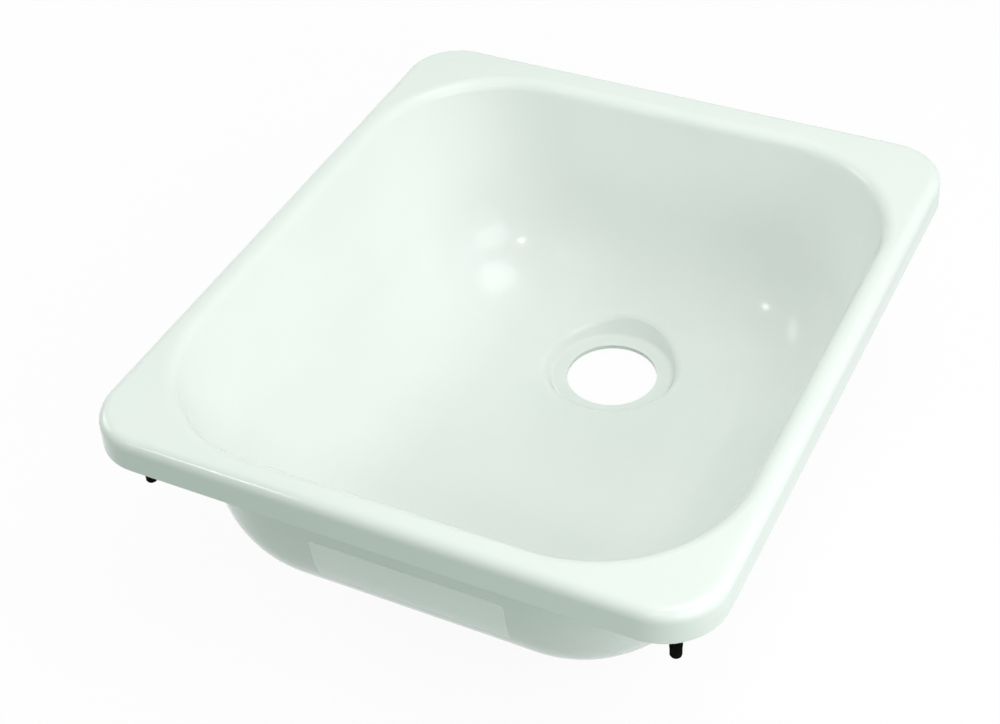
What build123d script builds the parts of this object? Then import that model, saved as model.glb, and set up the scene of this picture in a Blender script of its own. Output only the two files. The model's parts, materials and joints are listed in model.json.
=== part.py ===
# A drop-in galley sink: one moulded shell with a turned-down rim, hung in a counter by its skirt
# and drawn down by four corner studs with washers and wing nuts.
# Millimetres. +Z is up, +Y is to the back, where the drain is. The origin is under the centre of
# the rim, level with the underside of the drain seat, which is the lowest face of the sink.
import os
from math import cos, radians, sin, tan

from build123d import *

os.makedirs("parts", exist_ok=True)

# Rim: flat flange, rolled outer edge and the skirt that stands on the counter
rim_width = 330.2
rim_length = 381.0
rim_corner_r = 32.0
rim_roll_r = 6.5
skirt_height = 18.0
skirt_draft = 2.0
wall = 2.5

# Bowl, measured on its inner face, with sharp edges before the lip and floor are rounded.
# The lands are what the rim leaves between its outside and those edges.
side_land = 13.1
front_land = 17.0
back_land = 23.0
bowl_corner_r = 77.0
bowl_depth = 129.5
front_draft = 5.5
back_draft = 3.0
side_draft = 14.0
bowl_corner_taper = 16.0
lip_r = 6.5
lip_under_r = 2.5
floor_r = 63.0
floor_slope = 3.0

# Drain: a round hole in a level seat, sunk in a dished recess of the floor
drain_setback = 105.5
drain_hole_d = 54.0
drain_seat_d = 72.0
drain_mouth_d = 79.0
drain_sink = 7.0
drain_seat_r = 2.5
drain_mouth_r = 4.0
recess_reach = 20.0

# Blank label on the outside of the front wall
label_width = 106.0
label_height = 29.0
label_corner_r = 2.0
label_thickness = 0.3
label_x = 4.0
label_rise = 63.5

# Hold-down studs: threaded bolts with a square head trapped in a block, and a lead end whose
# thread is cut low so that a nut starts easily
stud_inset_x = 22.1
stud_inset_y = 23.5
thread_d = 6.35
thread_length = 43.0
lead_d = 6.0
lead_length = 6.0
lead_chamfer = 0.8
head_width = 9.5
head_height = 4.0

# Stud blocks, bonded under the corners of the flange
foot_d = 20.0
foot_height = 5.0
boss_d = 15.0
boss_height = 4.5
boss_root_r = 1.2
boss_edge_r = 0.8
head_clearance = 0.15
shank_clearance = 0.1

# Washers and wing nuts, run up the studs to just under the blocks
stack_gap = 0.3
washer_d = 19.0
washer_hole_d = 7.1
washer_thickness = 1.5
washer_edge_r = 0.3
nut_hub_d = 12.0
nut_hub_height = 8.0
nut_hub_draft = 6.0
nut_clearance = 0.05
wing_root_r = 3.0
wing_root_x = 4.4
wing_root_z = 4.0
wing_tip_r = 3.8
wing_tip_x = 10.0
wing_tip_z = 10.0
wing_thickness = 2.8
wing_edge_r = 0.9
wing_angle = 45.0

# Levels, worked up from the drain seat's underside
drain_seat_top = wall
rim_top = drain_seat_top + drain_sink + bowl_depth
flange_under = rim_top - wall
skirt_foot = rim_top - skirt_height
block_foot = flange_under - foot_height - boss_height
stud_seat = flange_under - head_height - head_clearance
washer_top = block_foot - stack_gap
nut_base = washer_top - washer_thickness - stack_gap

# Bowl and drain in plan
bowl_width = rim_width - 2 * side_land
bowl_length = rim_length - front_land - back_land
bowl_shift = (front_land - back_land) / 2
drain_y = rim_length / 2 - drain_setback

# The floor falls towards the back, and passes the drain at the bowl's depth
front_inset = bowl_depth * tan(radians(front_draft))
back_inset = bowl_depth * tan(radians(back_draft))
side_inset = bowl_depth * tan(radians(side_draft))
floor_width = bowl_width - 2 * side_inset
floor_length = bowl_length - front_inset - back_inset
floor_corner_r = bowl_corner_r - bowl_corner_taper
floor_shift = bowl_shift + (front_inset - back_inset) / 2
floor_fall = tan(radians(floor_slope))
floor_plane = Plane(
    origin=(0, floor_shift, rim_top - bowl_depth + (drain_y - floor_shift) * floor_fall),
    x_dir=(1, 0, 0),
    z_dir=(0, floor_fall, 1),
)

# Stud axes, under the four corners of the flange
stud_x = rim_width / 2 - stud_inset_x
stud_y = rim_length / 2 - stud_inset_y
corners = {
    "front_left": (-stud_x, -stud_y),
    "front_right": (stud_x, -stud_y),
    "back_left": (-stud_x, stud_y),
    "back_right": (stud_x, stud_y),
}


def rim_form(inset, top):
    """The rim's outer form, drawn inset inside the skirt's outer face and up to top."""
    flare = (top - skirt_foot) * tan(radians(skirt_draft))
    with BuildPart() as form:
        for level, step in ((skirt_foot, 0), (top, flare)):
            with BuildSketch(Plane.XY.offset(level)):
                shrink = inset + step
                RectangleRounded(rim_width - 2 * shrink, rim_length - 2 * shrink, rim_corner_r - shrink)
        loft()
        fillet(form.faces().sort_by(Axis.Z)[-1].edges(), rim_roll_r - inset)
    return form.part


def recess_form(grow):
    """The drain recess, grow outside its inner face, with its cone carried on past the floor."""
    seat_z = drain_seat_top - grow
    seat_edge = drain_seat_d / 2 + grow
    cone_slope = (drain_mouth_d - drain_seat_d) / 2 / drain_sink
    with BuildPart() as form:
        with BuildSketch(Plane.XZ.offset(-drain_y)):
            with BuildLine():
                Polyline(
                    (0, seat_z),
                    (seat_edge, seat_z),
                    (seat_edge + recess_reach * cone_slope, seat_z + recess_reach),
                    (0, seat_z + recess_reach),
                    close=True,
                )
            make_face()
        revolve(axis=Axis((0, drain_y, 0), (0, 0, 1)))
        fillet(form.faces().sort_by(Axis.Z)[0].edges(), drain_seat_r + grow)
    return form.part


def basin_form(grow):
    """The bowl's drafted walls and rounded floor, grow outside its inner face."""
    with BuildPart() as form:
        with BuildSketch(Plane((0, bowl_shift, rim_top))):
            RectangleRounded(bowl_width + 2 * grow, bowl_length + 2 * grow, bowl_corner_r + grow)
        with BuildSketch(floor_plane.offset(-grow)):
            RectangleRounded(floor_width + 2 * grow, floor_length + 2 * grow, floor_corner_r + grow)
        loft()
        fillet(form.faces().sort_by(Axis.Z)[0].edges(), floor_r + grow)
    return form.part


def bowl_form(grow, ledge_z, ledge_inset, edge_r):
    """The basin with its drain recess, under a ledge that meets it in a rounding."""
    with BuildPart() as form:
        add(basin_form(grow))
        with BuildSketch(Plane.XY.offset(ledge_z)):
            ledge_r = rim_corner_r - ledge_inset
            RectangleRounded(rim_width - 2 * ledge_inset, rim_length - 2 * ledge_inset, ledge_r)
        extrude(amount=wall)
        ledge = form.faces().filter_by(Axis.Z).filter_by_position(Axis.Z, ledge_z - 0.01, ledge_z + 0.01)
        fillet(ledge[0].inner_wires()[0].edges(), edge_r)
        add(recess_form(grow))
        fillet(form.edges(Select.NEW), drain_mouth_r)
    return form.part


# Shell: rim, bowl and drain recess in one moulding
skirt_flare = skirt_height * tan(radians(skirt_draft))
with BuildPart() as shell:
    add(rim_form(0, rim_top))
    add(rim_form(wall, flange_under), mode=Mode.SUBTRACT)
    add(bowl_form(wall, flange_under, skirt_flare + rim_roll_r, lip_under_r))
    add(bowl_form(0, rim_top, 0, lip_r), mode=Mode.SUBTRACT)
    with Locations((0, drain_y, drain_seat_top / 2)):
        Cylinder(drain_hole_d / 2, wall * 2, mode=Mode.SUBTRACT)
shell.part.label = "sink_shell"
export_step(shell.part, "parts/sink_shell.step")

# Label: a thin blank sticker that follows the front wall's curve
with BuildPart() as label:
    with BuildSketch(Plane.XZ):
        with Locations((label_x, rim_top - bowl_depth + label_rise)):
            RectangleRounded(label_width, label_height, label_corner_r)
    extrude(amount=rim_length)
    add(basin_form(wall + label_thickness), mode=Mode.INTERSECT)
    add(basin_form(wall), mode=Mode.SUBTRACT)
label.part.label = "label"
export_step(label.part, "parts/label.step")

for corner, (x, y) in corners.items():
    turn = radians(wing_angle if x * y < 0 else -wing_angle)

    # Stud block: a round foot on the flange, a boss under it and a square pocket for the bolt head
    with BuildPart() as block:
        with BuildSketch(Plane((x, y, flange_under))):
            Circle(foot_d / 2)
        extrude(amount=-foot_height)
        with BuildSketch(Plane((x, y, flange_under - foot_height))):
            Circle(boss_d / 2)
        extrude(amount=-boss_height)
        fillet(block.edges().filter_by(GeomType.CIRCLE).group_by(Axis.Z)[0], boss_edge_r)
        step = block.faces().filter_by(Axis.Z).filter_by_position(
            Axis.Z, flange_under - foot_height - 0.01, flange_under - foot_height + 0.01
        )
        fillet(step[0].inner_wires()[0].edges(), boss_root_r)
        with BuildSketch(Plane((x, y, flange_under))):
            Rectangle(head_width + 2 * head_clearance, head_width + 2 * head_clearance)
        extrude(amount=stud_seat - flange_under, mode=Mode.SUBTRACT)
        with BuildSketch(Plane((x, y, stud_seat))):
            Circle(thread_d / 2 + shank_clearance)
        extrude(amount=block_foot - stud_seat, mode=Mode.SUBTRACT)
    block.part.label = f"stud_block_{corner}"
    export_step(block.part, f"parts/stud_block_{corner}.step")

    # Stud: square head, threaded shank and chamfered lead end
    with BuildPart() as stud:
        with BuildSketch(Plane((x, y, stud_seat))):
            Rectangle(head_width, head_width)
        extrude(amount=head_height)
        with BuildSketch(Plane((x, y, stud_seat))):
            Circle(thread_d / 2)
        extrude(amount=lead_length - thread_length)
        with BuildSketch(Plane((x, y, stud_seat - thread_length + lead_length))):
            Circle(lead_d / 2)
        extrude(amount=-lead_length)
        chamfer(stud.faces().sort_by(Axis.Z)[0].edges(), lead_chamfer)
    stud.part.label = f"stud_{corner}"
    export_step(stud.part, f"parts/stud_{corner}.step")

    # Washer
    with BuildPart() as washer:
        with BuildSketch(Plane((x, y, washer_top))):
            Circle(washer_d / 2)
            Circle(washer_hole_d / 2, mode=Mode.SUBTRACT)
        extrude(amount=-washer_thickness)
        rims = washer.faces().filter_by(Axis.Z)
        fillet([face.outer_wire().edges()[0] for face in rims], washer_edge_r)
    washer.part.label = f"washer_{corner}"
    export_step(washer.part, f"parts/washer_{corner}.step")

    # Wing nut: two upswept wings on a tapered hub, drawn pointing down along the stud
    nut_plane = Plane((x, y, nut_base), x_dir=(cos(turn), sin(turn), 0), z_dir=(0, 0, -1))
    wing_plane = Plane((x, y, nut_base), x_dir=(cos(turn), sin(turn), 0), z_dir=(sin(turn), -cos(turn), 0))
    with BuildPart() as wing_nut:
        for side in (1, -1):
            with BuildSketch(wing_plane):
                with Locations((side * wing_root_x, -wing_root_z)):
                    Circle(wing_root_r)
                with Locations((side * wing_tip_x, -wing_tip_z)):
                    Circle(wing_tip_r)
                make_hull()
            extrude(amount=wing_thickness / 2, both=True)
        flats = wing_nut.faces().filter_by(GeomType.PLANE)
        flats = flats.sort_by(lambda face: abs(face.normal_at().dot(wing_plane.z_dir)))[-4:]
        fillet(flats.edges(), wing_edge_r)
        with BuildSketch(nut_plane):
            Circle(nut_hub_d / 2)
        extrude(amount=nut_hub_height, taper=nut_hub_draft)
        with BuildSketch(nut_plane):
            Circle(thread_d / 2 + nut_clearance)
        extrude(amount=nut_hub_height + wing_tip_z, mode=Mode.SUBTRACT)
    wing_nut.part.label = f"wing_nut_{corner}"
    export_step(wing_nut.part, f"parts/wing_nut_{corner}.step")
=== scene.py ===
import json
from math import cos, pi, radians, sin

import bmesh
import bpy
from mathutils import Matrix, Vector


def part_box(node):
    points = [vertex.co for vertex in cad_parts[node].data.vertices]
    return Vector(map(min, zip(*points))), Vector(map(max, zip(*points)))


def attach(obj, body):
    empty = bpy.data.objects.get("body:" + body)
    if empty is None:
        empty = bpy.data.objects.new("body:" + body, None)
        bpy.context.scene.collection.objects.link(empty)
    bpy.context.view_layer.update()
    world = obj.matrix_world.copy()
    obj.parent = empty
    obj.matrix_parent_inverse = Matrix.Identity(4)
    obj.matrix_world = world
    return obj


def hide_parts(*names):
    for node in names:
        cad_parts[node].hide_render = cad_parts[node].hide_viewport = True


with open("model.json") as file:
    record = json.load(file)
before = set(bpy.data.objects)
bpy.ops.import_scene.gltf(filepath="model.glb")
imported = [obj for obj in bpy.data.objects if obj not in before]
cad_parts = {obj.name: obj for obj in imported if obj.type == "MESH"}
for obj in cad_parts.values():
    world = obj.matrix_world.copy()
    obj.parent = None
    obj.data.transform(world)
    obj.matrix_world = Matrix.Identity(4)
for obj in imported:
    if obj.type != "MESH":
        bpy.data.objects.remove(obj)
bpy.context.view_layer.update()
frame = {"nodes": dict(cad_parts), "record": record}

scene = bpy.context.scene
CORNERS = ("front_left", "front_right", "back_left", "back_right")

# Sizes of the studs, as in the part, in metres
THREAD_R = 0.003175
THREAD_PITCH = 0.00127
THREAD_LENGTH = 0.043
LEAD_R = 0.003
LEAD_LENGTH = 0.006
LEAD_CHAMFER = 0.0008
HEAD_WIDTH = 0.0095
HEAD_HEIGHT = 0.004

# The thread's cut and the head's bevel, which only the scene's studs have
THREAD_DEPTH = 0.00069
RIDGE_PEAK = 1.25
RIDGE_FALL = 3.0
THREAD_SIDES = 24
ROWS_PER_PITCH = 8
HEAD_EDGE = 0.0004
HEAD_EDGE_STEPS = 2

# The part of a noise's range that colours and numbers are spread over
NOISE_LOW = 0.3
NOISE_HIGH = 0.7


def add_node(tree, kind, **values):
    """A new node, with each value set on its socket of that name, or else on the node itself."""
    node = tree.nodes.new(kind)
    for key, value in values.items():
        if key in node.inputs:
            node.inputs[key].default_value = value
        else:
            setattr(node, key, value)
    return node


def new_material(name):
    """A new material with its node tree and its Principled shader."""
    mat = bpy.data.materials.new(name)
    mat.use_nodes = True
    return mat, mat.node_tree, mat.node_tree.nodes["Principled BSDF"]


def noise(tree, scale, detail, rough=0.5, stretch=None):
    """Noise in the piece's own coordinates, with its scale per metre."""
    coords = add_node(tree, "ShaderNodeTexCoord")
    source = coords.outputs["Object"]
    if stretch:
        mapping = add_node(tree, "ShaderNodeMapping", Scale=stretch)
        tree.links.new(source, mapping.inputs["Vector"])
        source = mapping.outputs["Vector"]
    node = add_node(tree, "ShaderNodeTexNoise", Scale=scale, Detail=detail, Roughness=rough)
    tree.links.new(source, node.inputs["Vector"])
    return node.outputs["Fac"]


def spread_colour(tree, value, socket, low, high):
    """Colours from low to high, by a noise, into a socket."""
    node = add_node(tree, "ShaderNodeValToRGB")
    ends = node.color_ramp.elements
    ends[0].position = NOISE_LOW
    ends[0].color = (*low, 1.0)
    ends[1].position = NOISE_HIGH
    ends[1].color = (*high, 1.0)
    tree.links.new(value, node.inputs["Fac"])
    tree.links.new(node.outputs["Color"], socket)


def spread_number(tree, value, socket, low, high):
    """Numbers from low to high, by a noise, into a socket."""
    node = add_node(tree, "ShaderNodeMapRange")
    node.inputs["From Min"].default_value = NOISE_LOW
    node.inputs["From Max"].default_value = NOISE_HIGH
    node.inputs["To Min"].default_value = low
    node.inputs["To Max"].default_value = high
    tree.links.new(value, node.inputs["Value"])
    tree.links.new(node.outputs["Result"], socket)


def bump(tree, value, shader, height):
    """Relief of a given height in metres, by a noise."""
    node = add_node(tree, "ShaderNodeBump", Strength=1.0, Distance=height)
    tree.links.new(value, node.inputs["Height"])
    tree.links.new(node.outputs["Normal"], shader.inputs["Normal"])


def shell_material():
    """Gloss white moulding: faint cloudiness, a slightly uneven gloss and a trace of orange peel."""
    mat, tree, shader = new_material("shell_gloss_white")
    cloud = noise(tree, scale=9.0, detail=4.0)
    haze = noise(tree, scale=60.0, detail=3.0)
    peel = noise(tree, scale=420.0, detail=1.0)
    spread_colour(
        tree, cloud, shader.inputs["Base Color"], low=(0.862, 0.874, 0.865), high=(0.888, 0.898, 0.890)
    )
    spread_number(tree, haze, shader.inputs["Roughness"], low=0.10, high=0.16)
    shader.inputs["IOR"].default_value = 1.5
    bump(tree, peel, shader, height=0.00002)
    return mat


def label_material():
    """Blank film with a faint fibre, under a clear gloss face."""
    mat, tree, shader = new_material("label_film")
    fibre = noise(tree, scale=700.0, detail=4.0, rough=0.6, stretch=(1.0, 1.0, 3.0))
    spread_colour(
        tree, fibre, shader.inputs["Base Color"], low=(0.935, 0.955, 0.945), high=(0.970, 0.985, 0.978)
    )
    spread_number(tree, fibre, shader.inputs["Roughness"], low=0.38, high=0.5)
    shader.inputs["Coat Weight"].default_value = 0.8
    shader.inputs["Coat Roughness"].default_value = 0.12
    bump(tree, fibre, shader, height=0.00002)
    return mat


def block_material():
    """Natural moulded plastic, a little milky and matte."""
    mat, tree, shader = new_material("block_natural")
    cloud = noise(tree, scale=180.0, detail=4.0)
    pits = noise(tree, scale=2500.0, detail=2.0)
    spread_colour(tree, cloud, shader.inputs["Base Color"], low=(0.56, 0.57, 0.53), high=(0.66, 0.67, 0.62))
    spread_number(tree, cloud, shader.inputs["Roughness"], low=0.42, high=0.6)
    bump(tree, pits, shader, height=0.00003)
    return mat


def stud_material():
    """Blackened steel: very dark, a little mottled and dull."""
    mat, tree, shader = new_material("stud_black_steel")
    mottle = noise(tree, scale=900.0, detail=5.0, rough=0.65)
    spread_colour(
        tree, mottle, shader.inputs["Base Color"], low=(0.0015, 0.0015, 0.0015), high=(0.0045, 0.0045, 0.0040)
    )
    spread_number(tree, mottle, shader.inputs["Roughness"], low=0.42, high=0.62)
    shader.inputs["Specular IOR Level"].default_value = 0.03
    bump(tree, mottle, shader, height=0.00003)
    return mat


def zinc_material():
    """Zinc-plated steel: bright with a faint bluish to straw tint, and a fine grain."""
    mat, tree, shader = new_material("zinc_plate")
    tint = noise(tree, scale=150.0, detail=3.0)
    grain = noise(tree, scale=1600.0, detail=4.0, rough=0.6)
    spread_colour(tree, tint, shader.inputs["Base Color"], low=(0.56, 0.58, 0.61), high=(0.66, 0.65, 0.59))
    spread_number(tree, grain, shader.inputs["Roughness"], low=0.24, high=0.42)
    shader.inputs["Metallic"].default_value = 1.0
    bump(tree, grain, shader, height=0.00002)
    return mat


materials = {
    "shell": shell_material(),
    "label": label_material(),
    "block": block_material(),
    "stud": stud_material(),
    "zinc": zinc_material(),
}
for sub in frame["record"]["subparts"]:
    node = frame["nodes"][sub["node"]]
    node.data.materials.clear()
    node.data.materials.append(materials[sub["material_slot"]])


def thread_radius(depth, angle):
    """The thread's radius at a depth below the head and an angle, cut low and chamfered at its lead end."""
    phase = (depth / THREAD_PITCH + angle / (2 * pi)) % 1.0
    ridge = min(1.0, max(0.0, RIDGE_PEAK - abs(phase - 0.5) * RIDGE_FALL))
    left = THREAD_LENGTH - depth
    crest = THREAD_R if left > LEAD_LENGTH else LEAD_R - max(0.0, LEAD_CHAMFER - left)
    return min(THREAD_R - THREAD_DEPTH * (1.0 - ridge), crest)


def stud_mesh():
    """A square-headed bolt with a cut thread, hanging down from its head's seat."""
    rows = int(THREAD_LENGTH / THREAD_PITCH * ROWS_PER_PITCH)
    bm = bmesh.new()
    rings = []
    for row in range(rows + 1):
        depth = THREAD_LENGTH * row / rows
        ring = []
        for side in range(THREAD_SIDES):
            angle = 2 * pi * side / THREAD_SIDES
            radius = thread_radius(depth, angle)
            ring.append(bm.verts.new((radius * cos(angle), radius * sin(angle), -depth)))
        rings.append(ring)
    for upper, lower in zip(rings, rings[1:]):
        for side in range(THREAD_SIDES):
            after = (side + 1) % THREAD_SIDES
            bm.faces.new((upper[side], lower[side], lower[after], upper[after]))
    for face in bm.faces:
        face.smooth = True
    bm.faces.new(list(reversed(rings[-1])))
    bm.faces.new(rings[0])
    head = bmesh.ops.create_cube(bm, size=1.0)["verts"]
    for vert in head:
        vert.co = Vector((vert.co.x * HEAD_WIDTH, vert.co.y * HEAD_WIDTH, (vert.co.z + 0.5) * HEAD_HEIGHT))
    edges = list({edge for vert in head for edge in vert.link_edges})
    bmesh.ops.bevel(bm, geom=edges, offset=HEAD_EDGE, segments=HEAD_EDGE_STEPS, affect="EDGES")
    bmesh.ops.recalc_face_normals(bm, faces=bm.faces)
    mesh = bpy.data.meshes.new("threaded_stud")
    bm.to_mesh(mesh)
    bm.free()
    return mesh


stud_data = stud_mesh()
stud_data.materials.append(materials["stud"])
for corner in CORNERS:
    low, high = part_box(f"stud_{corner}")
    stud = bpy.data.objects.new(f"threaded_stud_{corner}", stud_data)
    scene.collection.objects.link(stud)
    stud.location = ((low.x + high.x) / 2, (low.y + high.y) / 2, high.z - HEAD_HEIGHT)
    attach(stud, "sink")
    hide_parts(f"stud_{corner}")

# Camera, as fitted to the whole outline of the rim
camera_data = bpy.data.cameras.new("camera")
camera_data.sensor_fit = "HORIZONTAL"
camera_data.sensor_width = 36.0
camera_data.lens = 67.33
camera = bpy.data.objects.new("camera", camera_data)
camera.location = (0.3455, -0.6785, 0.7513)
camera.rotation_euler = (radians(48.689), radians(3.113), radians(26.161))
scene.collection.objects.link(camera)
scene.camera = camera

# Lamps: wide ones that only shade, and small ones that also show as highlights on the bowl
LAMP_AIM = Vector((0.0, 0.0, 0.08))
LAMP_RIM = 0.5


def soft_lamp(name, place, size, power, edge, in_gloss=True):
    """A round lamp turned to the object, brightest inside and fading over the given share of its radius."""
    data = bpy.data.lights.new(name, "AREA")
    data.shape = "ELLIPSE"
    data.size, data.size_y = size
    data.energy = power
    data.use_nodes = True
    tree = data.node_tree
    spot = add_node(tree, "ShaderNodeNewGeometry")
    off = add_node(tree, "ShaderNodeVectorMath", operation="DISTANCE")
    off.inputs[1].default_value = (LAMP_RIM, LAMP_RIM, 0.0)
    fade = add_node(tree, "ShaderNodeMapRange", interpolation_type="SMOOTHSTEP")
    fade.inputs["From Min"].default_value = LAMP_RIM * (1.0 - edge)
    fade.inputs["From Max"].default_value = LAMP_RIM
    fade.inputs["To Min"].default_value = 1.0
    fade.inputs["To Max"].default_value = 0.0
    tree.links.new(spot.outputs["Parametric"], off.inputs[0])
    tree.links.new(off.outputs["Value"], fade.inputs["Value"])
    tree.links.new(fade.outputs["Result"], tree.nodes["Emission"].inputs["Strength"])
    lamp = bpy.data.objects.new(name, data)
    lamp.visible_glossy = in_gloss
    lamp.location = place
    lamp.rotation_euler = (Vector(place) - LAMP_AIM).to_track_quat("Z", "Y").to_euler()
    scene.collection.objects.link(lamp)


soft_lamp("right_wide", place=(1.3, -0.1, 0.78), size=(2.2, 1.3), power=13.5, edge=0.6, in_gloss=False)
soft_lamp("top_wide", place=(0.45, 0.5, 1.85), size=(2.8, 2.8), power=17.5, edge=0.6, in_gloss=False)
soft_lamp("left_wide", place=(-1.5, 0.0, 0.8), size=(2.0, 1.3), power=11.0, edge=0.6, in_gloss=False)
soft_lamp("top", place=(0.505, 0.064, 1.4), size=(1.1, 1.1), power=7.4, edge=0.4)
soft_lamp("right_front", place=(0.907, -0.55, 0.52), size=(1.1, 1.1), power=4.9, edge=0.5)
soft_lamp("left", place=(-1.25, -0.12, 0.56), size=(0.8, 0.8), power=4.2, edge=0.6)
soft_lamp("front_right_spot", place=(0.304, -0.918, 0.847), size=(0.13, 0.13), power=0.9, edge=0.3)
soft_lamp("front_left_spot", place=(-1.34, -1.86, 1.74), size=(0.34, 0.34), power=4.0, edge=0.3)


def seen_directly(tree):
    """1 for rays from the camera, and from gloss and clear stuff, and 0 for the light that shades."""
    path = add_node(tree, "ShaderNodeLightPath")
    either = add_node(tree, "ShaderNodeMath", operation="MAXIMUM")
    any_of = add_node(tree, "ShaderNodeMath", operation="MAXIMUM")
    tree.links.new(path.outputs["Is Camera Ray"], either.inputs[0])
    tree.links.new(path.outputs["Is Glossy Ray"], either.inputs[1])
    tree.links.new(either.outputs[0], any_of.inputs[0])
    tree.links.new(path.outputs["Is Transmission Ray"], any_of.inputs[1])
    return any_of.outputs[0]


def mix_shaders(tree, share, first, second):
    """The first shader where the share is 0, and the second where it is 1."""
    mix = add_node(tree, "ShaderNodeMixShader")
    tree.links.new(share, mix.inputs["Fac"])
    tree.links.new(first, mix.inputs[1])
    tree.links.new(second, mix.inputs[2])
    return mix.outputs["Shader"]


# World: even soft light, and white where it is seen directly
WORLD_LIGHT = 0.27
WORLD_TINT = (0.66, 1.0, 0.77, 1.0)
WHITE = (1.0, 1.0, 1.0, 1.0)
world = bpy.data.worlds.new("studio")
scene.world = world
world.use_nodes = True
sky = world.node_tree
fill = sky.nodes["Background"]
fill.inputs["Color"].default_value = WORLD_TINT
fill.inputs["Strength"].default_value = WORLD_LIGHT
white_sky = add_node(sky, "ShaderNodeBackground", Color=WHITE)
sky_shown = mix_shaders(sky, seen_directly(sky), fill.outputs["Background"], white_sky.outputs["Background"])
sky.links.new(sky_shown, sky.nodes["World Output"].inputs["Surface"])

# Floor: plain and pale with the object's shadow kept, white where it is seen directly, and clear from below
FLOOR_REACH = 6.0
FLOOR_DROP = 0.0005
FLOOR_WHITE = 0.93
FLOOR_PALE = (0.95, 0.95, 0.95, 1.0)
FLOOR_SHADE = (0.29, 0.37, 0.335, 1.0)
FLOOR_ROUGHNESS = 0.8
floor_corners = [(x * FLOOR_REACH, y * FLOOR_REACH, 0.0) for x, y in ((-1, -1), (1, -1), (1, 1), (-1, 1))]
floor_mesh = bpy.data.meshes.new("floor")
floor_mesh.from_pydata(floor_corners, [], [(0, 1, 2, 3)])
floor = bpy.data.objects.new("floor", floor_mesh)
floor.location.z = -FLOOR_DROP
scene.collection.objects.link(floor)
floor_mat, ground, shade = new_material("floor_pale")
shade.inputs["Base Color"].default_value = FLOOR_SHADE
shade.inputs["Roughness"].default_value = FLOOR_ROUGHNESS
pale = add_node(ground, "ShaderNodeBsdfDiffuse", Color=FLOOR_PALE)
white = add_node(ground, "ShaderNodeEmission", Strength=1.0)
shown = add_node(ground, "ShaderNodeMixShader", Fac=FLOOR_WHITE)
ground.links.new(pale.outputs["BSDF"], shown.inputs[1])
ground.links.new(white.outputs["Emission"], shown.inputs[2])
top_side = mix_shaders(ground, seen_directly(ground), shade.outputs["BSDF"], shown.outputs["Shader"])
facing = add_node(ground, "ShaderNodeNewGeometry")
clear = add_node(ground, "ShaderNodeBsdfTransparent")
both_sides = mix_shaders(ground, facing.outputs["Backfacing"], top_side, clear.outputs["BSDF"])
ground.links.new(both_sides, ground.nodes["Material Output"].inputs["Surface"])
floor_mesh.materials.append(floor_mat)

scene.view_settings.view_transform = "Standard"
